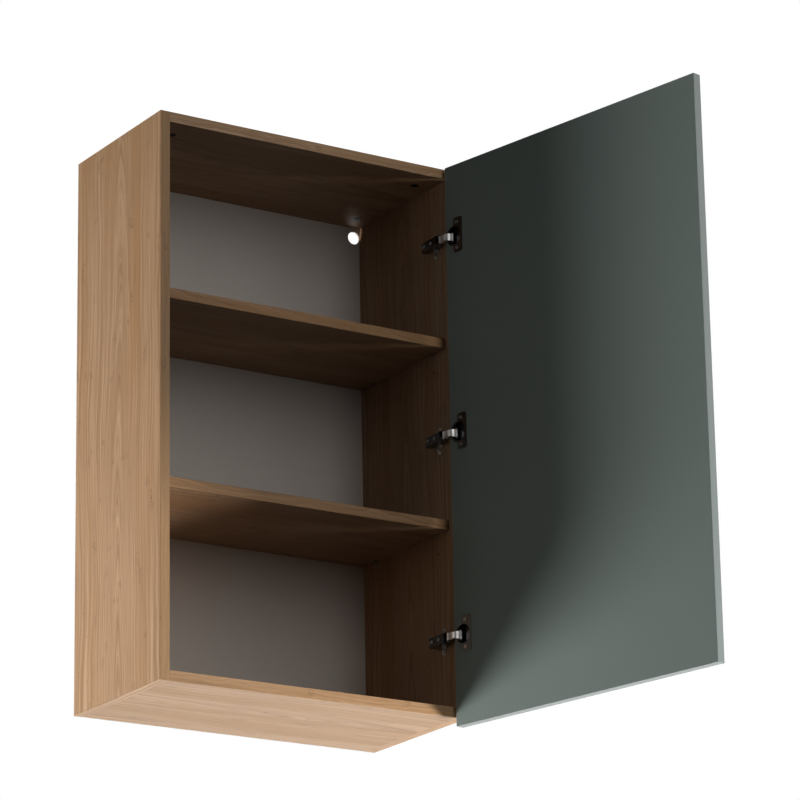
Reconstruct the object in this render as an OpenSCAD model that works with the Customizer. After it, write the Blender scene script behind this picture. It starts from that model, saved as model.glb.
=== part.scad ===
// Hanging wall cabinet with two shelves and one side-hung door on three
// concealed cup hinges. Millimetres, +Z up, the wall is at y = 0 and the room
// is on the -Y side. The origin is midway between the two wall-hook holes.

/* [Carcass] */
// Outside width of the carcass
cabinet_w = 600; // [450:1:600]
// Outside height of the carcass
cabinet_h = 1000; // [900:1:1100]
// Depth from the wall to the front edges
cabinet_d = 300; // [290:1:340]
// Thickness of the faced boards
board_t = 18; // [17:0.5:19]
// Thickness of every edge band
band_t = 1; // [0.8:0.1:1.5]
// Thickness of the back panel
back_t = 3; // [2.5:0.5:4]

/* [Shelves] */
// Underside of the lower shelf above the carcass bottom
lower_shelf_z = 337; // [280:1:400]
// Underside of the upper shelf above the carcass bottom
upper_shelf_z = 670; // [620:1:720]
// Distance of the shelf fronts behind the carcass front
shelf_setback = 17; // [10:1:30]
// Distance of the front hole column from the carcass front
front_column_y = 54; // [45:1:60]
// Distance of the rear hole column from the carcass front
rear_column_y = 249; // [230:1:260]

/* [Wall hooks] */
// Diameter of the two wall-hook holes in the back panel
hook_hole_d = 24; // [18:1:26]
// Distance of the hook holes below the carcass top
hook_drop = 37; // [32:1:45]

/* [Door] */
// Thickness of the door
door_t = 16; // [16:0.5:19]
// Distance of the closed door's edges inside the carcass sides
door_reveal = 1.5; // [1.5:0.5:2.5]
// Gap between the closed door and the carcass front
door_gap = 2; // [2:0.25:3]
// How far the door reaches below the carcass as a finger grip
door_overhang = 18; // [0:1:25]
// How far the door stands open at rest, in degrees
door_open = 101.5; // [98:0.5:104]

/* [Hinges] */
// Height of the lower hinge above the carcass bottom
lower_hinge_z = 141; // [110:1:200]
// Height of the upper hinge above the carcass bottom
upper_hinge_z = 866; // [800:1:880]
// Outside diameter of the hinge cup
cup_d = 35; // [35:0.1:35.2]
// Distance of the cup's centre from the door's hinge edge
cup_centre = 21.5; // [21:0.5:22.5]
// Distance between the two cup screws
cup_screw_pitch = 48; // [45:1:52]
// Distance of the mounting plate's screws behind the carcass front
plate_y = 37; // [37:0.5:38]

/* [Hidden] */

oak = "#b08d62";
oak_band = "#a5825a";
hdf_grey = "#8f857a";
door_green = "#55605a";
door_band_green = "#6d7a73";
nickel = "#b9b8b4";
black_nickel = "#4a4846";
zinc = "#8d8d8a";
beech = "#d2b48c";

// carcass planes
z_top = hook_drop;
z_bottom = z_top - cabinet_h;
y_front = -cabinet_d;
x_in = cabinet_w / 2 - board_t;
inner_w = cabinet_w - 2 * board_t;
y_back_front = -back_t;

// the sides are rebated at the rear for the back panel
rebate_w = 9;
back_side_gap = 0.5;
hook_hole_clear = 0.3;
hook_x = x_in - hook_hole_d / 2 - hook_hole_clear;
hanger_pilot_r = 1.5;
hanger_pilot_depth = 10;
hanger_pilot = [281, 953];

// shelves rest on round pins
pin_r = 2.5;
pin_in = 10;
pin_out = 9;
pin_hole_depth = 12;
pin_hole_pitch = 32;
shelf_side_gap = 1;
shelf_rear_gap = 1;
shelf_w = inner_w - 2 * shelf_side_gap;
shelf_zs = [upper_shelf_z, lower_shelf_z];
column_ys = [front_column_y, rear_column_y];

// cam fittings and dowels that join the sides to the top and bottom
cam_r = 7.5;
cam_t = 12.5;
cam_from_side = 34;
cam_slot_w = 2;
cam_slot_l = 11;
cam_slot_depth = 2;
bolt_bore_r = 4;
bolt_head_r = 3.2;
bolt_neck_r = 2.2;
bolt_thread_r = 2.5;
bolt_in_side = 11;
bolt_head_l = 3;
cam_throat_r = 3.4;
dowel_r = 4;
dowel_in_side = 11;
dowel_in_panel = 19;
dowel_ys = [front_column_y + 32, rear_column_y - 32];

// nails that hold the back panel
nail_r = 0.8;
nail_head_r = 2;
nail_head_t = 0.8;
nail_l = 16;
nail_inset = 4.5;
side_nails = 7;
end_nails = 3;

// door
door_w = cabinet_w - 2 * door_reveal;
door_top_gap = 1;
door_h = cabinet_h + door_overhang - door_top_gap;
cup_screw_hole_r = 1.5;
cup_screw_l = 11;
cup_bore_clear = 0.05;
cup_depth = 12;

// hinge, in its own frame: x from the side's inner face, y from the carcass
// front, z from the hinge's own height
hinge_zs = [upper_hinge_z, (upper_hinge_z + lower_hinge_z) / 2, lower_hinge_z];
arm_pin = [-15, 3];
inner_pin = [-9, 13];
cup_pin = [10, 5];
hinge_pin_r = 1.5;
pin_running = 0.05;
link_share = 1 / 3;
link_w = 13;
link_t = 1.8;
link_knuckle_r = 3;
cup_knuckle_r = 2.8;
inner_link_w = 7;
inner_link_t = 1.6;
inner_knuckle_r = 2.7;
arm_gap = 0.3;
cheek_t = 1.4;
arm_w = link_w + 2 * arm_gap + 2 * cheek_t;
arm_top_x = -20;
arm_web_t = 1.5;
arm_nose_r = 3.6;
arm_rear_y = 62;
arm_slot_w = 5;
arm_slot_l = 12;
plate_t = 2;
foot_from = 21;
boss_from = 21.5;
boss_to = 58;
boss_h = 5;
boss_w = 9;
wing_pitch = 32;
wing_reach = 24;
wing_w = 12;
plate_screw_r = 2.5;
plate_screw_head_r = 4.2;
plate_screw_head_t = 2.2;
plate_screw_l = 13;
adjust_ys = [26, 47];
adjust_thread_r = 2;
adjust_head_r = 3.2;
adjust_head_t = 1.4;
flange_t = 1.2;
flange_from = 20;
flange_to = 40.5;
flange_half_h = 32.5;
flange_corner_r = 4;
rim_r = 19;
cup_wall = 1;
cup_screw_e = cup_centre + 6;
ear_t = 2;
ear_gap = 0.3;

// the door's place at rest follows from the outer link's two pins
closed_edge_x = board_t - door_reveal;
closed_link = [closed_edge_x - cup_pin.x - arm_pin.x, -door_gap - cup_pin.y - arm_pin.y];
link_angle = atan2(closed_link.y, closed_link.x) - link_share * door_open;
cup_pin_place = arm_pin + norm(closed_link) * [cos(link_angle), sin(link_angle)];
door_along = [-cos(door_open), -sin(door_open)];
door_inward = [sin(door_open), -cos(door_open)];
door_corner = cup_pin_place - cup_pin.x * door_along - cup_pin.y * door_inward;

// a point of the door in the hinge frame: along from the hinge edge, then depth
function door_point(e, d) = door_corner + e * door_along + d * door_inward;

function bezier(p, t) =
    pow(1 - t, 3) * p[0] + 3 * pow(1 - t, 2) * t * p[1]
    + 3 * (1 - t) * t * t * p[2] + pow(t, 3) * p[3];
function bezier_slope(p, t) =
    pow(1 - t, 2) * (p[1] - p[0]) + 2 * (1 - t) * t * (p[2] - p[1]) + t * t * (p[3] - p[2]);
function left_of(v) = [-v.y, v.x] / norm(v);
curve_steps = 14;
function strip_side(p, half, steps) =
    [for (i = [0:steps]) bezier(p, i / steps) + half * left_of(bezier_slope(p, i / steps))];
function reversed(list) = [for (i = [len(list) - 1:-1:0]) list[i]];

// a curved flat strip of thickness t, seen along z
module strip(p, t) {
    polygon(concat(strip_side(p, t / 2, curve_steps), reversed(strip_side(p, -t / 2, curve_steps))));
}

module along_x() rotate([0, 90, 0]) children();
module along_y() rotate([-90, 0, 0]) children();

// a solid cylinder on the Z axis
module rod(r, l) cylinder(r = r, h = l, $fn = 48);

// a flat plate in XY with round corners
module round_plate(w, h, t, r) {
    linear_extrude(height = t) {
        square([w - 2 * r, h], center = true);
        square([w, h - 2 * r], center = true);
        for (sx = [-1, 1], sy = [-1, 1])
            translate([sx * (w / 2 - r), sy * (h / 2 - r)]) circle(r = r, $fn = 32);
    }
}

// ---- places ----

// the carcass's lower left front corner
module carcass() translate([-cabinet_w / 2, y_front, z_bottom]) children();

// the door's lower hinge-edge corner: x along the door, y through it
module on_door() {
    translate([x_in + door_corner.x, y_front + door_corner.y, z_bottom - door_overhang])
        rotate([0, 0, door_open + 180]) children();
}

// hinge number i, on the right side
module at_hinge(i) translate([x_in, y_front, z_bottom + hinge_zs[i]]) children();

// hinge number i, on the door's inner face at its hinge edge
module at_door_hinge(i) on_door() translate([0, 0, hinge_zs[i] + door_overhang]) children();

// ---- carcass ----

// both ends of the top and bottom panels: x along the joint, out of the inner face
module side_joint_holes() {
    for (z = [board_t / 2, cabinet_h - board_t / 2]) {
        for (y = column_ys) translate([0, y, z]) along_x() rod(bolt_thread_r, bolt_in_side);
        for (y = dowel_ys) translate([0, y, z]) along_x() rod(dowel_r, dowel_in_side);
    }
}

// shelf-pin, joint and hanger holes, drilled from x = 0 towards +X
module side_holes() {
    for (z = shelf_zs, y = column_ys, drop = [0, pin_hole_pitch])
        translate([0, y, z - pin_r - drop]) along_x() rod(pin_r, pin_hole_depth);
    side_joint_holes();
    translate([0, hanger_pilot.x, hanger_pilot.y]) along_x() rod(hanger_pilot_r, hanger_pilot_depth);
}

module side_nail_holes() {
    for (i = [0:side_nails - 1])
        translate([nail_inset, cabinet_d - back_t, nail_z(i)]) rotate([90, 0, 0])
            rod(nail_r, nail_l - back_t);
}

// a side with its inner face at x = 0, reaching to +X
module side_blank() {
    difference() {
        translate([0, band_t, band_t]) cube([board_t, cabinet_d - band_t, cabinet_h - band_t]);
        translate([-1, cabinet_d - back_t, -1]) cube([rebate_w + 1, back_t + 1, cabinet_h + 2]);
        side_holes();
        side_nail_holes();
    }
}

module left_side() color(oak)
    carcass() translate([board_t, 0, 0]) mirror([1, 0, 0]) side_blank();

module right_side() color(oak) difference() {
    carcass() translate([cabinet_w - board_t, 0, 0]) side_blank();
    for (i = [0:2], s = [-1, 1])
        at_hinge(i) translate([0, plate_y, s * wing_pitch / 2]) along_x() rod(plate_screw_r, plate_screw_l);
}

// one horizontal panel, its joint face drilled for two cams a side; up = 1 drills from above
module joint_panel(up) {
    panel_d = cabinet_d - band_t - back_t;
    difference() {
        translate([board_t, band_t, 0]) cube([inner_w, panel_d, board_t]);
        for (side = [0, 1]) translate([cabinet_w / 2, 0, 0]) mirror([side, 0, 0]) {
            for (y = column_ys) {
                translate([-inner_w / 2 + cam_from_side, y, up > 0 ? board_t - cam_t : 0])
                    rod(cam_r, cam_t);
                translate([-inner_w / 2, y, board_t / 2]) along_x() rod(bolt_bore_r, cam_from_side);
            }
            for (y = dowel_ys)
                translate([-inner_w / 2, y, board_t / 2]) along_x() rod(dowel_r, dowel_in_panel);
        }
        for (i = [0:end_nails - 1])
            translate([end_nail_x(i), cabinet_d - back_t, board_t / 2]) rotate([90, 0, 0])
                rod(nail_r, nail_l - back_t);
    }
}

module top_panel() color(oak) carcass() translate([0, 0, cabinet_h - board_t]) joint_panel(-1);

module bottom_panel() color(oak) carcass() joint_panel(1);

function nail_z(i) = 60 + i * (cabinet_h - 120) / (side_nails - 1);
function end_nail_x(i) = cabinet_w / 2 + (i - (end_nails - 1) / 2) * inner_w / 3.5;

// the nails' places on the back, each at the panel's rear face
module at_nails() {
    for (i = [0:side_nails - 1], x = [board_t - nail_inset, cabinet_w - board_t + nail_inset])
        carcass() translate([x, cabinet_d, nail_z(i)]) rotate([90, 0, 0]) children();
    for (i = [0:end_nails - 1], z = [board_t / 2, cabinet_h - board_t / 2])
        carcass() translate([end_nail_x(i), cabinet_d, z]) rotate([90, 0, 0]) children();
}

module nail() {
    rod(nail_head_r, nail_head_t);
    rod(nail_r, nail_l);
}

module back_panel() color(hdf_grey) {
    back_w = inner_w + 2 * (rebate_w - back_side_gap);
    difference() {
        translate([-back_w / 2, y_back_front, z_bottom]) cube([back_w, back_t, cabinet_h]);
        for (s = [-1, 1]) translate([s * hook_x, y_back_front - 1, 0]) along_y()
            cylinder(d = hook_hole_d, h = back_t + 2, $fn = 64);
        at_nails() nail();
    }
}

module back_nails() color(zinc) at_nails() nail();

module side_front_bands() color(oak_band)
    for (x = [0, cabinet_w - board_t]) carcass() translate([x, 0, 0]) cube([board_t, band_t, cabinet_h]);

module side_bottom_bands() color(oak_band)
    for (side = [0, 1]) mirror([side, 0, 0]) carcass() difference() {
        translate([0, band_t, 0]) cube([board_t, cabinet_d - band_t, band_t]);
        translate([board_t - rebate_w, cabinet_d - back_t, -1]) cube([board_t, back_t + 1, band_t + 2]);
    }

module panel_front_band() translate([board_t, 0, 0]) cube([inner_w, band_t, board_t]);

module top_front_band() color(oak_band)
    carcass() translate([0, 0, cabinet_h - board_t]) panel_front_band();

module bottom_front_band() color(oak_band) carcass() panel_front_band();

// ---- shelves ----

module shelf(z) color(oak) {
    front = shelf_setback + band_t;
    carcass() translate([board_t + shelf_side_gap, front, z])
        cube([shelf_w, cabinet_d - back_t - shelf_rear_gap - front, board_t]);
}

module upper_shelf() shelf(upper_shelf_z);

module lower_shelf() shelf(lower_shelf_z);

module shelf_front_bands() color(oak_band)
    for (z = shelf_zs) carcass() translate([board_t + shelf_side_gap, shelf_setback, z])
        cube([shelf_w, band_t, board_t]);

module shelf_pins() color(zinc)
    for (side = [0, 1]) mirror([side, 0, 0])
        for (z = shelf_zs, y = column_ys)
            carcass() translate([board_t - pin_in, y, z - pin_r]) along_x() rod(pin_r, pin_in + pin_out);

// ---- cam fittings ----

// places of the joint fittings at the left end; mirrored for the right end
module at_joints(ys) {
    for (side = [0, 1]) mirror([side, 0, 0])
        for (top = [0, 1], y = ys)
            carcass() translate([board_t, y, top ? cabinet_h - board_t / 2 : board_t / 2])
                mirror([0, 0, top]) children();
}

// a cam with its slotted face up and its throat towards the side
module cam() {
    face_z = board_t / 2;
    difference() {
        translate([cam_from_side, 0, face_z - cam_t]) rod(cam_r, cam_t);
        translate([cam_from_side - cam_r - 1, 0, 0]) along_x() rod(cam_throat_r, cam_r + 4);
        for (a = [0, 90])
            translate([cam_from_side, 0, face_z]) rotate([0, 0, a])
                cube([cam_slot_l, cam_slot_w, 2 * cam_slot_depth], center = true);
    }
}

module cam_locks() color(zinc) at_joints(column_ys) cam();

module cam_bolts() color(zinc) at_joints(column_ys) {
    translate([-bolt_in_side, 0, 0]) along_x() rod(bolt_thread_r, bolt_in_side);
    along_x() rod(bolt_neck_r, cam_from_side);
    translate([cam_from_side, 0, 0]) along_x() rod(bolt_head_r, bolt_head_l);
}

module dowels() color(beech)
    at_joints(dowel_ys) translate([-dowel_in_side, 0, 0]) along_x()
        rod(dowel_r, dowel_in_side + dowel_in_panel);

// ---- door ----

module door_panel() color(door_green) difference() {
    on_door() translate([band_t, 0, band_t]) cube([door_w - 2 * band_t, door_t, door_h - 2 * band_t]);
    for (i = [0:2]) at_door_hinge(i) {
        translate([cup_centre, -1, 0]) along_y()
            cylinder(r = cup_d / 2 + cup_bore_clear, h = cup_depth + 1, $fn = 72);
        for (s = [-1, 1]) translate([cup_screw_e, 0, s * cup_screw_pitch / 2]) along_y()
            rod(cup_screw_hole_r, cup_screw_l);
    }
}

module door_hinge_band() color(door_band_green) on_door() cube([band_t, door_t, door_h]);

module door_free_band() color(door_band_green)
    on_door() translate([door_w - band_t, 0, 0]) cube([band_t, door_t, door_h]);

module door_end_band(z) on_door() translate([band_t, 0, z]) cube([door_w - 2 * band_t, door_t, band_t]);

module door_top_band() color(door_band_green) door_end_band(door_h - band_t);

module door_bottom_band() color(door_band_green) door_end_band(0);

// ---- hinge pieces on the side panel ----

// a cross of a long foot under the arm and two wings with a screw each
module mounting_plate(i) color(nickel) at_hinge(i) difference() {
    union() {
        translate([-plate_t, plate_y, 0]) along_x()
            round_plate(2 * wing_reach, wing_w, plate_t, wing_w / 2 - 0.5);
        translate([-plate_t, (foot_from + arm_rear_y) / 2, 0]) along_x()
            round_plate(arm_w, arm_rear_y - foot_from, plate_t, 3);
        translate([-plate_t - boss_h, boss_from, -boss_w / 2]) cube([boss_h, boss_to - boss_from, boss_w]);
    }
    for (s = [-1, 1]) translate([-plate_t - 1, plate_y, s * wing_pitch / 2]) along_x()
        rod(plate_screw_r + 0.1, plate_t + 2);
    translate([-plate_t - boss_h - 1, adjust_ys[1], 0]) along_x() rod(adjust_thread_r, boss_h + 1);
}

// the recess of a cross-head screw, along +Z from its face
module cross_recess(l, depth) {
    for (a = [0, 90]) rotate([0, 0, a]) cube([l, l / 5, 2 * depth], center = true);
}

module plate_screws(i) color(nickel) at_hinge(i)
    for (s = [-1, 1]) translate([-plate_t, plate_y, s * wing_pitch / 2]) {
        difference() {
            translate([-plate_screw_head_t, 0, 0]) along_x() rod(plate_screw_head_r, plate_screw_head_t);
            translate([-plate_screw_head_t, 0, 0]) along_x() cross_recess(5, 1.2);
        }
        along_x() rod(plate_screw_r, plate_screw_l + plate_t);
    }

// the arm's side view, with the web at the left and the foot at the right
module arm_cheek_outline() {
    polygon([
        [arm_top_x + 0.6, arm_pin.y + 5], [arm_top_x, arm_pin.y + 8], [arm_top_x, arm_rear_y - 6],
        [arm_top_x + 5, arm_rear_y], [-plate_t, arm_rear_y - 4], [-plate_t, plate_y - 8],
        [inner_pin.x + 3.4, inner_pin.y + 3], [inner_pin.x + 2.4, inner_pin.y - 3],
        [arm_pin.x + arm_nose_r - 0.4, arm_pin.y - 1], [arm_pin.x - arm_nose_r + 0.2, arm_pin.y - 1]
    ]);
    translate(arm_pin) circle(r = arm_nose_r, $fn = 40);
}

module arm(i) color(black_nickel) at_hinge(i) difference() {
    union() {
        for (s = [-1, 1]) translate([0, 0, s * (arm_w - cheek_t) / 2])
            linear_extrude(height = cheek_t, center = true) arm_cheek_outline();
        translate([arm_top_x, arm_pin.y + 8, -arm_w / 2])
            cube([arm_web_t, arm_rear_y - 6 - arm_pin.y - 8, arm_w]);
    }
    for (p = [arm_pin, inner_pin]) translate([p.x, p.y, -arm_w]) rod(hinge_pin_r, 2 * arm_w);
    for (y = adjust_ys) translate([arm_top_x - 1, y, 0]) along_x() rod(adjust_thread_r, arm_web_t + 2);
    translate([arm_top_x - 1, adjust_ys[1], -arm_slot_w / 2]) cube([arm_web_t + 2, arm_slot_l, arm_slot_w]);
}

module arm_pins(i) color(nickel) at_hinge(i)
    for (p = [arm_pin, inner_pin]) translate([p.x, p.y, -arm_w / 2]) rod(hinge_pin_r, arm_w);

// the front one rests on the boss and sets the door sideways, the rear one clamps the arm
module adjusting_screws(i) color(nickel) at_hinge(i)
    for (k = [0, 1]) translate([arm_top_x, adjust_ys[k], 0]) {
        difference() {
            translate([-adjust_head_t, 0, 0]) along_x() rod(adjust_head_r, adjust_head_t);
            translate([-adjust_head_t, 0, 0]) along_x() cross_recess(4.4, 0.9);
        }
        along_x() rod(adjust_thread_r, k == 0 ? -arm_top_x - plate_t - boss_h : -arm_top_x - plate_t);
    }

// ---- links ----

outer_curve = [arm_pin, door_point(-4, -8), door_point(10.5, -9.5), door_point(cup_pin.x, cup_pin.y)];
waist_r = 40;
waist_depth = 1.1;

// a broad waisted strip bent round the door's edge, with a barrel at each end
module outer_link(i) color(nickel) at_hinge(i) {
    cup_end = outer_curve[3];
    middle = door_point(0, -6);
    difference() {
        union() {
            linear_extrude(height = link_w, center = true) strip(outer_curve, link_t);
            translate([arm_pin.x, arm_pin.y, -link_w / 2]) rod(link_knuckle_r, link_w);
            translate([cup_end.x, cup_end.y, -link_w / 2]) rod(cup_knuckle_r, link_w);
        }
        for (p = [arm_pin, cup_end]) translate([p.x, p.y, -link_w])
            rod(hinge_pin_r + pin_running, 2 * link_w);
        for (s = [-1, 1])
            translate([middle.x, middle.y, s * (link_w / 2 + waist_r - waist_depth)])
                rotate([0, 0, door_open + 180]) translate([0, -9, 0]) along_y()
                    cylinder(r = waist_r, h = 12, $fn = 160);
    }
}

inner_curve = [inner_pin, [-7, 7], [-7, 1], [-9.5, -3]];

// a narrow strip that ends short of the cup: its cup pivot is left open
module inner_link(i) color(nickel) at_hinge(i) difference() {
    union() {
        linear_extrude(height = inner_link_w, center = true) strip(inner_curve, inner_link_t);
        translate([inner_pin.x, inner_pin.y, -inner_link_w / 2]) rod(inner_knuckle_r, inner_link_w);
    }
    translate([inner_pin.x, inner_pin.y, -inner_link_w]) rod(hinge_pin_r + pin_running, 2 * inner_link_w);
}

// ---- hinge pieces on the door ----

// the round cup, its flange plate and the two ears that hold the pin
module cup(i) color(nickel) at_door_hinge(i) {
    ear_z = link_w / 2 + ear_gap;
    floor_d = cup_depth - cup_wall;
    difference() {
        union() {
            translate([cup_centre, -flange_t, 0]) along_y() cylinder(r = rim_r, h = flange_t, $fn = 72);
            translate([(flange_from + flange_to) / 2, -flange_t, 0]) along_y()
                round_plate(flange_to - flange_from, 2 * flange_half_h, flange_t, flange_corner_r);
            translate([cup_centre, 0, 0]) along_y() cylinder(d = cup_d, h = cup_depth, $fn = 72);
        }
        difference() {
            translate([cup_centre, -flange_t - 1, 0]) along_y()
                cylinder(r = cup_d / 2 - cup_wall, h = floor_d + flange_t + 1, $fn = 72);
            for (s = [-1, 1]) translate([0, 0, s * (ear_z + ear_t / 2)])
                linear_extrude(height = ear_t, center = true) {
                    translate(cup_pin) circle(r = 3, $fn = 40);
                    translate([cup_pin.x - 3, cup_pin.y]) square([6, floor_d - cup_pin.y + 1]);
                }
        }
        translate([cup_pin.x, cup_pin.y, -ear_z - ear_t]) rod(hinge_pin_r, 2 * (ear_z + ear_t));
        for (s = [-1, 1]) translate([cup_screw_e, -flange_t - 1, s * cup_screw_pitch / 2]) along_y()
            rod(cup_screw_hole_r + 0.1, flange_t + 2);
    }
}

module cup_pin_rod(i) color(nickel) at_door_hinge(i) {
    half = link_w / 2 + ear_gap + ear_t;
    translate([cup_pin.x, cup_pin.y, -half]) rod(hinge_pin_r, 2 * half);
}

module cup_screws(i) color(nickel) at_door_hinge(i)
    for (s = [-1, 1]) translate([cup_screw_e, -flange_t, s * cup_screw_pitch / 2]) {
        difference() {
            translate([0, -1.5, 0]) along_y() rod(3.4, 1.5);
            translate([0, -1.5, 0]) along_y() cross_recess(4.6, 1);
        }
        along_y() rod(cup_screw_hole_r, cup_screw_l + flange_t);
    }

// ---- nodes ----

left_side();
right_side();
top_panel();
bottom_panel();
back_panel();
side_front_bands();
side_bottom_bands();
top_front_band();
bottom_front_band();
upper_shelf();
lower_shelf();
shelf_front_bands();
shelf_pins();
cam_locks();
cam_bolts();
dowels();
back_nails();
door_panel();
door_hinge_band();
door_free_band();
door_top_band();
door_bottom_band();

mounting_plate(0);  // upper_mounting_plate
plate_screws(0);  // upper_plate_screws
arm(0);  // upper_arm
arm_pins(0);  // upper_arm_pins
adjusting_screws(0);  // upper_adjusting_screws
outer_link(0);  // upper_outer_link
inner_link(0);  // upper_inner_link
cup(0);  // upper_cup
cup_pin_rod(0);  // upper_cup_pin
cup_screws(0);  // upper_cup_screws

mounting_plate(1);  // middle_mounting_plate
plate_screws(1);  // middle_plate_screws
arm(1);  // middle_arm
arm_pins(1);  // middle_arm_pins
adjusting_screws(1);  // middle_adjusting_screws
outer_link(1);  // middle_outer_link
inner_link(1);  // middle_inner_link
cup(1);  // middle_cup
cup_pin_rod(1);  // middle_cup_pin
cup_screws(1);  // middle_cup_screws

mounting_plate(2);  // lower_mounting_plate
plate_screws(2);  // lower_plate_screws
arm(2);  // lower_arm
arm_pins(2);  // lower_arm_pins
adjusting_screws(2);  // lower_adjusting_screws
outer_link(2);  // lower_outer_link
inner_link(2);  // lower_inner_link
cup(2);  // lower_cup
cup_pin_rod(2);  // lower_cup_pin
cup_screws(2);  // lower_cup_screws
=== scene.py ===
"""Looks, light and camera for a hanging wall cabinet with one door on three cup hinges.

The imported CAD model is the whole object. This script gives each part an edge bevel and a procedural
finish, and adds the floor, the studio light and the camera. Lengths are in metres, in the model's own
frame.
"""

import math

import bpy
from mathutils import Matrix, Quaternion, Vector


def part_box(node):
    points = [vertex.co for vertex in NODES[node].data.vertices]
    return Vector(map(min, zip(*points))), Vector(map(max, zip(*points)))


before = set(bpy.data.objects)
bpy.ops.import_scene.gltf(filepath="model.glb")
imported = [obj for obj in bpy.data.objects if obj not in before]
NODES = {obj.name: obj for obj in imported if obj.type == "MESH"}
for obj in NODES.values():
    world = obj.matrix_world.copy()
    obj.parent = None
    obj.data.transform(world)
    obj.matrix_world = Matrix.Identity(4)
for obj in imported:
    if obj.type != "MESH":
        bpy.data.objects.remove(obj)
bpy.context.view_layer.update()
HINGES = ("upper", "middle", "lower")


# ---------------------------------------------------------------- node helpers

class Finish:
    """A material under construction: its node tree and short calls for the nodes it needs."""

    def __init__(self, name, **shader):
        self.material = bpy.data.materials.new(name)
        self.material.use_nodes = True
        self.tree = self.material.node_tree
        self.shader = self.tree.nodes["Principled BSDF"]
        for socket, value in shader.items():
            self.shader.inputs[socket.replace("_", " ")].default_value = value
        coordinates = self.tree.nodes.new("ShaderNodeTexCoord")
        self.place = coordinates.outputs["Object"]

    def join(self, value, socket):
        """Links value to socket if it is another node's output, and sets it there if it is a constant."""
        if isinstance(value, bpy.types.NodeSocket):
            self.tree.links.new(value, socket)
        else:
            socket.default_value = value

    def calc(self, operation, first, second=0.0, third=0.0):
        node = self.tree.nodes.new("ShaderNodeMath")
        node.operation = operation
        for value, socket in zip((first, second, third), node.inputs):
            self.join(value, socket)
        return node.outputs[0]

    def axes(self):
        """The three coordinates of the point, as (x, y, z)."""
        node = self.tree.nodes.new("ShaderNodeSeparateXYZ")
        self.join(self.place, node.inputs[0])
        return tuple(node.outputs)

    def vector(self, x, y, z):
        node = self.tree.nodes.new("ShaderNodeCombineXYZ")
        for value, socket in zip((x, y, z), node.inputs):
            self.join(value, socket)
        return node.outputs[0]

    def noise(self, where, scale=1.0, detail=2.0, roughness=0.5, distortion=0.0):
        node = self.tree.nodes.new("ShaderNodeTexNoise")
        self.join(where, node.inputs["Vector"])
        node.inputs["Scale"].default_value = scale
        node.inputs["Detail"].default_value = detail
        node.inputs["Roughness"].default_value = roughness
        node.inputs["Distortion"].default_value = distortion
        return node.outputs["Fac"]

    def span(self, value, low, high, to_low=0.0, to_high=1.0):
        """Carries value smoothly from the range low..high to the range to_low..to_high."""
        node = self.tree.nodes.new("ShaderNodeMapRange")
        node.interpolation_type = "SMOOTHSTEP"
        for number, socket in zip((value, low, high, to_low, to_high), node.inputs):
            self.join(number, socket)
        return node.outputs[0]

    def mix(self, factor, under, over):
        """The colour under where factor is 0, and the colour over where it is 1."""
        node = self.tree.nodes.new("ShaderNodeMix")
        node.data_type = "RGBA"
        sockets = [socket for socket in node.inputs if socket.enabled]
        for value, socket in zip((factor, under, over), sockets):
            self.join(value, socket)
        return next(socket for socket in node.outputs if socket.enabled)

    def layer(self, under, over, pattern, low, high, share=1.0):
        """Lays one colour over another: none of it where pattern is at low, and share of it at high."""
        return self.mix(self.span(pattern, low, high, 0.0, share), under, over)

    def bump(self, height, depth):
        """Raises the surface by up to depth metres where height is 1."""
        node = self.tree.nodes.new("ShaderNodeBump")
        node.inputs["Distance"].default_value = depth
        self.join(height, node.inputs["Height"])
        self.tree.links.new(node.outputs[0], self.shader.inputs["Normal"])

    def set(self, socket, value):
        self.join(value, self.shader.inputs[socket])


def srgb(red, green, blue):
    """A colour given as 0..255 display values, as the linear colour that shaders use."""
    def linear(value):
        share = value / 255
        return share / 12.92 if share <= 0.04045 else ((share + 0.055) / 1.055) ** 2.4
    return (linear(red), linear(green), linear(blue), 1.0)


def toned(colour, shares):
    """The colour with its red, green and blue each multiplied by its own share."""
    return tuple(channel * share for channel, share in zip(colour, shares)) + (1.0,)


# ---------------------------------------------------------------- finishes

OAK_LIGHT = srgb(186, 157, 129)
OAK_DARK = srgb(157, 127, 98)
OAK_WARM = srgb(162, 127, 90)
OAK_PORE = srgb(132, 103, 78)
OAK_FLECK = srgb(92, 64, 45)
UNTONED = (1.0, 1.0, 1.0)

# How far the heart line wanders and ripples across the board, how blunt the arches are on it, and how
# fast they fade beside it, per square metre. The dark joint line, painted shade of the groove between
# board and band together with the glue line, shows this far on each side of its joint.
HEART_WANDER = 0.05
HEART_RIPPLE = 0.007
HEART_ROUNDING = 0.012
HEART_FALLOFF = 550.0
GLUE_AND_GROOVE_SHADE_LINE = 0.0004


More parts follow.
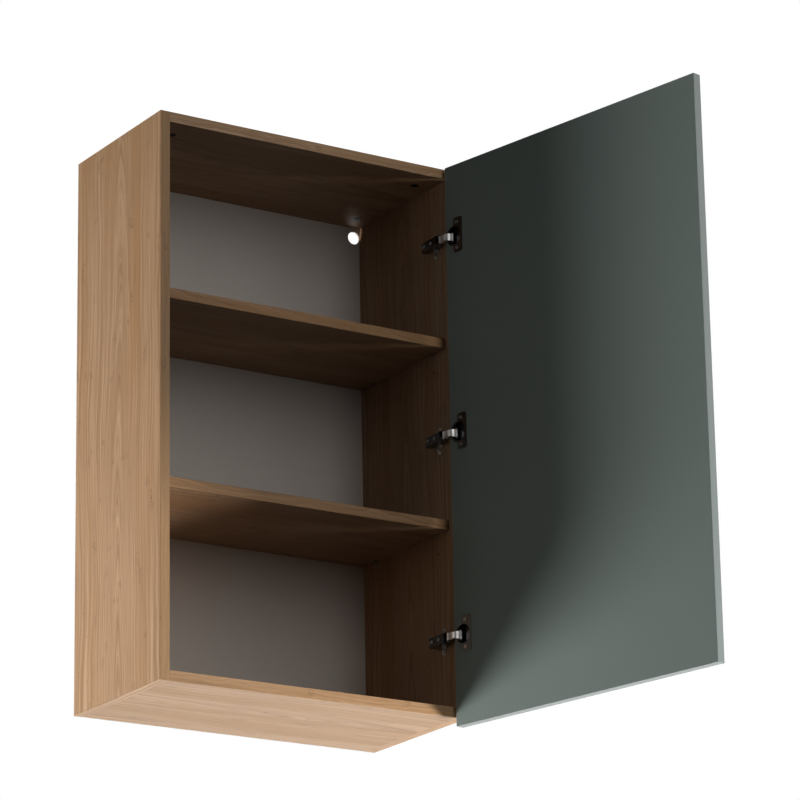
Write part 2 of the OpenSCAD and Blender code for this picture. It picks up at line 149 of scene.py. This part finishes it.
def oak(name, along, across, depth, heart=0.0, arches=22.0, gap=0.006, curl=0.0, tone=UNTONED,
        contrast=1.0, joint=None):
    """Plain-sawn oak decor: nested arches on a heart line, which run out into straight stripes beside it.

    along, across and depth are the board's axes. heart is where the heart line lies across the board,
    arches how closely the arches follow each other along it, gap the stripes' pitch, and curl the
    sideways waver of a wavy edge band. tone holds the shares by which the red, green and blue of the
    colours are multiplied, and contrast is how far the stripes go from light to dark. joint is an axis
    and a place on it, where a thin dark line is painted along an edge band's joint: painted shade of the
    groove between board and band, together with the glue line.
    """
    finish = Finish(name, Roughness=0.5, Specular_IOR_Level=0.25)
    axis = finish.axes()
    length, width, thick = axis[along], axis[across], axis[depth]

    def grain(per_length, per_width, detail=2.0, roughness=0.5, distortion=0.0, seed=0.0):
        """Noise whose features are about 1/per_length long and 1/per_width wide, in metres."""
        where = finish.vector(finish.calc("MULTIPLY", length, per_length),
                              finish.calc("MULTIPLY", width, per_width),
                              finish.calc("MULTIPLY_ADD", thick, per_width, seed))
        return finish.noise(where, 1.0, detail, roughness, distortion)

    def centred(value, reach):
        return finish.calc("MULTIPLY", finish.calc("SUBTRACT", value, 0.5), reach)

    # side is the distance from the wandering heart line, and ring counts the growth rings out from it.
    wander = centred(grain(2.4, 5.0), HEART_WANDER)
    ripple = centred(grain(14.0, 30.0, seed=3.0), HEART_RIPPLE + curl)
    side = finish.calc("ADD", finish.calc("SUBTRACT", width, heart), finish.calc("ADD", wander, ripple))
    spread = finish.calc("SQRT", finish.calc("MULTIPLY_ADD", side, side, HEART_ROUNDING ** 2))
    side_squared = finish.calc("MULTIPLY", side, side)
    near_heart = finish.calc("EXPONENT", finish.calc("MULTIPLY", side_squared, -HEART_FALLOFF))
    climb = finish.calc("MULTIPLY", finish.calc("MULTIPLY", length, arches), near_heart)
    ring = finish.calc("MULTIPLY_ADD", spread, 1.0 / gap, climb)

    # The seeds and the fixed third coordinates only keep one noise from repeating another.
    stripes = finish.noise(finish.vector(ring, finish.calc("MULTIPLY", length, 1.6), 7.0), 1.0, 3.0, 0.6)
    warm_zones = grain(0.9, 16.0, seed=5.0)
    outlines = finish.noise(finish.vector(finish.calc("MULTIPLY", ring, 2.7),
                                          finish.calc("MULTIPLY", length, 3.0), 11.0), 1.0, 1.0)
    pores = grain(7.0, 320.0, 3.0, seed=9.0)
    fibre = grain(24.0, 1300.0)

    # Small dark check marks: thin curved hairs, where a patch holds them.
    patches = finish.span(grain(26.0, 42.0, 1.0, seed=13.0), 0.66, 0.72)
    swirls = grain(90.0, 210.0, 1.0, 0.5, 2.2, seed=17.0)
    curves = finish.calc("ABSOLUTE", finish.calc("SUBTRACT", swirls, 0.5))
    hairs = finish.span(curves, 0.045, 0.0, 0.0, 0.75)

    light, dark, warm, pore, fleck = (toned(colour, tone) for colour in
                                      (OAK_LIGHT, OAK_DARK, OAK_WARM, OAK_PORE, OAK_FLECK))
    colour = finish.layer(light, dark, stripes, 0.3, 0.7, contrast)
    colour = finish.layer(colour, warm, warm_zones, 0.42, 0.66, 0.6)
    colour = finish.layer(colour, light, outlines, 0.55, 0.8, 0.55)
    colour = finish.layer(colour, pore, pores, 0.5, 0.72, 0.38 * contrast)
    colour = finish.layer(colour, pore, fibre, 0.52, 0.78, 0.3)
    colour = finish.mix(finish.calc("MULTIPLY", patches, hairs), colour, fleck)
    # Painted shade: a thin dark line along the band joint stands for the shade in the groove between board
    # and band, together with the glue line.
    if joint:
        joint_axis, place = joint
        off = finish.calc("ABSOLUTE", finish.calc("SUBTRACT", axis[joint_axis], place))
        colour = finish.layer(colour, fleck, off, GLUE_AND_GROOVE_SHADE_LINE, GLUE_AND_GROOVE_SHADE_LINE * 0.5, 0.75)
    finish.set("Base Color", colour)
    finish.set("Roughness", finish.span(fibre, 0.3, 0.8, 0.46, 0.58))
    finish.bump(fibre, 0.00004)
    return finish.material


def hardboard(name):
    """The thin back: a matt warm grey paper face with a very fine mottle."""
    finish = Finish(name, Roughness=0.75, Specular_IOR_Level=0.2)
    mottle = finish.noise(finish.place, 900.0, 3.0, 0.6)
    clouds = finish.noise(finish.place, 7.0, 3.0, 0.5)
    colour = finish.layer(srgb(200, 194, 188), srgb(206, 200, 194), mottle, 0.3, 0.7)
    finish.set("Base Color", finish.layer(colour, srgb(194, 188, 182), clouds, 0.3, 0.7, 0.25))
    finish.set("Roughness", finish.span(mottle, 0.2, 0.8, 0.7, 0.82))
    finish.bump(mottle, 0.00003)
    return finish.material


def lacquer(name, light, dark, roughness):
    """A matt green-grey painted face: an even colour with a faint grain, as a foiled board has."""
    finish = Finish(name, Roughness=roughness, Specular_IOR_Level=0.32)
    grain = finish.noise(finish.place, 1400.0, 2.0, 0.5)
    clouds = finish.noise(finish.place, 5.0, 3.0, 0.55)
    colour = finish.layer(dark, light, grain, 0.25, 0.75)
    finish.set("Base Color", finish.layer(colour, dark, clouds, 0.3, 0.7, 0.35))
    finish.set("Roughness", finish.span(grain, 0.2, 0.8, roughness - 0.05, roughness + 0.06))
    finish.bump(grain, 0.00002)
    return finish.material


PLATED_PITTING = 0.00001
CAST_PITTING = 0.00003


def metal(name, light, dark, roughness, pitting=PLATED_PITTING):
    """Plated metal: a fine uneven polish and a slightly cloudy tint."""
    finish = Finish(name, Metallic=1.0, Roughness=roughness)
    clouds = finish.noise(finish.place, 60.0, 3.0, 0.6)
    polish = finish.noise(finish.place, 2200.0, 2.0, 0.5, 0.4)
    uneven = finish.span(polish, 0.2, 0.8, roughness - 0.06, roughness + 0.06)
    dulled = finish.span(clouds, 0.5, 0.8, 0.0, 0.08)
    finish.set("Base Color", finish.layer(light, dark, clouds, 0.3, 0.7))
    finish.set("Roughness", finish.calc("ADD", uneven, dulled))
    finish.bump(polish, pitting)
    return finish.material


X, Y, Z = 0, 1, 2
BAND_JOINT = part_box("left_side")[0].y
BAND_GAP = 0.004
BAND_CURL = 0.02
FINISHES = {
    "side_oak": oak("side_oak", Z, Y, X, heart=-0.155, joint=(Y, BAND_JOINT)),
    "panel_oak": oak("panel_oak", X, Y, Z, heart=-0.17, arches=14.0),
    "shelf_oak": oak("shelf_oak", X, Y, Z, heart=-0.12, arches=16.0),
    # Painted light: this tone warms and saturates the upright bands' colour to stand for light bounced off
    # the oak onto them.
    "upright_band_oak": oak("upright_band_oak", Z, X, Y, heart=-0.2, gap=BAND_GAP,
                            tone=(1.08, 1.02, 0.88), contrast=0.4, joint=(Y, BAND_JOINT)),
    "level_band_oak": oak("level_band_oak", X, Z, Y, heart=-0.3, gap=BAND_GAP, curl=BAND_CURL,
                          tone=(1.25, 1.25, 1.25)),
    # Painted light: this tone warms the shelf bands' colour to stand for light bounced off the oak onto them.
    "shelf_band_oak": oak("shelf_band_oak", X, Z, Y, heart=-0.3, gap=BAND_GAP, curl=BAND_CURL,
                          tone=(1.03, 0.95, 0.82)),
    "end_band_oak": oak("end_band_oak", Y, X, Z, heart=-0.2, gap=BAND_GAP, tone=(1.1, 1.1, 1.1)),
    "hardboard": hardboard("hardboard"),
    "green_board": lacquer("green_board", srgb(122, 132, 127), srgb(117, 128, 123), 0.56),
    "green_band": lacquer("green_band", srgb(142, 148, 146), srgb(136, 142, 140), 0.45),
    "nickel": metal("nickel", (0.86, 0.85, 0.83, 1), (0.78, 0.77, 0.75, 1), 0.34),
    "satin_nickel": metal("satin_nickel", (0.90, 0.89, 0.87, 1), (0.84, 0.83, 0.81, 1), 0.46),
    "polished_nickel": metal("polished_nickel", (0.30, 0.30, 0.30, 1), (0.24, 0.24, 0.24, 1), 0.13),
    "black_nickel": metal("black_nickel", (0.17, 0.165, 0.16, 1), (0.12, 0.115, 0.11, 1), 0.12),
    # Painted shade: a near-black zinc, coloured to stand for the shade in the holes the cam locks sit in.
    "zinc_painted_hole_shade": metal("zinc_painted_hole_shade", (0.04, 0.04, 0.04, 1), (0.025, 0.025, 0.025, 1), 0.4,
                        CAST_PITTING),
    "bright_steel": metal("bright_steel", (0.66, 0.65, 0.63, 1), (0.55, 0.54, 0.53, 1), 0.26),
    "dull_zinc": metal("dull_zinc", (0.30, 0.30, 0.30, 1), (0.22, 0.22, 0.22, 1), 0.5, CAST_PITTING),
    "beech": oak("beech", X, Y, Z, gap=0.002),
}


def each_hinge(*parts):
    """The names of these parts on all three hinges."""
    return [f"{hinge}_{part}" for hinge in HINGES for part in parts]


# Each row is a finish, the width of the edge bevel, and the CAD nodes that have them.
FINE_EDGE = 0.00035
METAL_EDGE = 0.00012
ROUND_EDGE = 0.00045
LOOKS = (
    ("side_oak", FINE_EDGE, ["left_side", "right_side"]),
    ("panel_oak", FINE_EDGE, ["top_panel", "bottom_panel"]),
    ("shelf_oak", FINE_EDGE, ["upper_shelf", "lower_shelf"]),
    ("upright_band_oak", FINE_EDGE, ["side_front_bands"]),
    ("end_band_oak", FINE_EDGE, ["side_bottom_bands"]),
    ("level_band_oak", FINE_EDGE, ["top_front_band", "bottom_front_band"]),
    ("shelf_band_oak", FINE_EDGE, ["shelf_front_bands"]),
    ("hardboard", FINE_EDGE, ["back_panel"]),
    ("green_board", FINE_EDGE, ["door_panel"]),
    ("green_band", FINE_EDGE, ["door_hinge_band", "door_free_band", "door_top_band", "door_bottom_band"]),
    ("nickel", METAL_EDGE, each_hinge("mounting_plate")),
    ("satin_nickel", METAL_EDGE, each_hinge("outer_link", "inner_link")),
    ("black_nickel", ROUND_EDGE, each_hinge("arm")),
    ("polished_nickel", ROUND_EDGE, each_hinge("cup")),
    ("bright_steel", METAL_EDGE, each_hinge("plate_screws", "arm_pins", "adjusting_screws", "cup_pin",
                                            "cup_screws") + ["shelf_pins"]),
    # Painted shade: the cam locks take the near-black zinc that stands for the shade in their holes.
    ("zinc_painted_hole_shade", METAL_EDGE, ["cam_locks"]),
    ("dull_zinc", METAL_EDGE, ["cam_bolts", "back_nails"]),
    ("beech", METAL_EDGE, ["dowels"]),
)
WELD_DISTANCE = 0.000001
SHARP_ANGLE = math.radians(35)


def dress(node, finish, bevel):
    """Gives a CAD node its finish and a soft edge, which catches the light as a real edge does."""
    piece = NODES[node]
    piece.data.materials.clear()
    piece.data.materials.append(FINISHES[finish])
    weld = piece.modifiers.new("weld", "WELD")
    weld.merge_threshold = WELD_DISTANCE
    edge = piece.modifiers.new("edge", "BEVEL")
    edge.width = bevel
    edge.segments = 2
    edge.limit_method = "ANGLE"
    edge.angle_limit = SHARP_ANGLE
    edge.use_clamp_overlap = True
    edge.harden_normals = True
    for face in piece.data.polygons:
        face.use_smooth = True
    shade = piece.modifiers.new("shade", "WEIGHTED_NORMAL")
    shade.keep_sharp = True


for finish, bevel, nodes in LOOKS:
    for node in nodes:
        dress(node, finish, bevel)


# ---------------------------------------------------------------- studio

CENTRE = Vector((0.0, -0.15, -0.463))
FLOOR_HEIGHT = -6.0
FLOOR_REACH = 30.0
ROOM_LIGHT = 0.01

# Each row is a light's name, its direction from the cabinet, its distance, its diameter and its watts.
LIGHTS = (
    ("key_left", (-0.735, 0.385, -0.39), 3.2, 1.2, 120.0),
    ("right_low", (0.70, -0.45, -0.56), 3.0, 0.7, 116.0),
    ("front", (0.2, -1.0, 0.27), 3.0, 2.5, 34.0),
    ("left_fill", (-1.0, -0.13, 0.08), 3.0, 1.3, 10.0),
    ("below", (-0.1, 0.15, -1.0), 3.0, 1.6, 12.0),
    ("behind_low", (0.50, 0.78, -0.38), 3.0, 2.2, 22.0),
    ("behind_top", (0.6, 0.55, 0.95), 3.0, 1.6, 70.0),
)


def pale_floor(height, reach):
    """A plain pale floor, so far below the cabinet that it hides nothing in views from below.

    The lights hardly reach it, so it glows evenly, and only to the camera: it lights nothing itself.
    """
    mesh = bpy.data.meshes.new("floor")
    corners = [(-reach, -reach, height), (reach, -reach, height),
               (reach, reach, height), (-reach, reach, height)]
    mesh.from_pydata(corners, [], [(0, 1, 2, 3)])
    floor = bpy.data.objects.new("floor", mesh)
    bpy.context.scene.collection.objects.link(floor)
    finish = Finish("pale_floor", Roughness=0.9)
    speckle = finish.noise(finish.place, 40.0, 3.0, 0.6)
    colour = finish.mix(speckle, srgb(206, 206, 204), srgb(214, 214, 212))
    finish.set("Base Color", colour)
    finish.set("Emission Color", colour)
    seen = finish.tree.nodes.new("ShaderNodeLightPath").outputs["Is Camera Ray"]
    finish.set("Emission Strength", seen)
    floor.data.materials.append(finish.material)


def softbox(name, toward, distance, size, power, aim):
    """A round light at a distance from aim, in the direction toward, facing it. The camera doesn't see it."""
    light = bpy.data.lights.new(name, "AREA")
    light.shape = "DISK"
    light.size = size
    light.energy = power
    lamp = bpy.data.objects.new(name, light)
    lamp.visible_camera = False
    direction = Vector(toward).normalized()
    lamp.location = aim + direction * distance
    lamp.rotation_mode = "QUATERNION"
    lamp.rotation_quaternion = direction.to_track_quat("Z", "Y")
    bpy.context.scene.collection.objects.link(lamp)


def white_room(strength):
    """A white backdrop for the camera, and a very weak even light on everything else."""
    world = bpy.data.worlds.new("studio")
    world.use_nodes = True
    tree = world.node_tree
    tree.nodes.clear()
    output = tree.nodes.new("ShaderNodeOutputWorld")
    blend = tree.nodes.new("ShaderNodeMixShader")
    rays = tree.nodes.new("ShaderNodeLightPath")
    tree.links.new(rays.outputs["Is Camera Ray"], blend.inputs[0])
    for slot, level in ((1, strength), (2, 1.0)):
        glow = tree.nodes.new("ShaderNodeBackground")
        glow.inputs["Strength"].default_value = level
        glow.inputs["Color"].default_value = (1, 1, 1, 1)
        tree.links.new(glow.outputs[0], blend.inputs[slot])
    tree.links.new(blend.outputs[0], output.inputs["Surface"])
    bpy.context.scene.world = world


pale_floor(FLOOR_HEIGHT, FLOOR_REACH)
white_room(ROOM_LIGHT)
for name, toward, distance, size, power in LIGHTS:
    softbox(name, toward, distance, size, power, CENTRE)


# ---------------------------------------------------------------- camera

CAMERA_PLACE = Vector((-3.383, -5.863, -2.511))
CAMERA_AIM = Vector((0.1749, -0.3, -0.4099))
CAMERA_ROLL = math.radians(-1.0)
LENS = 179.55
SENSOR_WIDTH = 36.0
FARTHEST_SEEN = 100.0
DISPLAY_GAMMA = 0.85


def camera(location, aim, roll, lens):
    """The photograph's view: a long lens from the left, well below the cabinet."""
    data = bpy.data.cameras.new("camera")
    data.sensor_width = SENSOR_WIDTH
    data.lens = lens
    data.clip_end = FARTHEST_SEEN
    view = bpy.data.objects.new("camera", data)
    view.location = location
    view.rotation_mode = "QUATERNION"
    looking = (aim - location).to_track_quat("-Z", "Y")
    view.rotation_quaternion = looking @ Quaternion((0, 0, 1), roll)
    bpy.context.scene.collection.objects.link(view)
    bpy.context.scene.camera = view


camera(CAMERA_PLACE, CAMERA_AIM, CAMERA_ROLL, LENS)

scene = bpy.context.scene
scene.view_settings.view_transform = "Standard"
scene.view_settings.look = "None"
scene.view_settings.gamma = DISPLAY_GAMMA
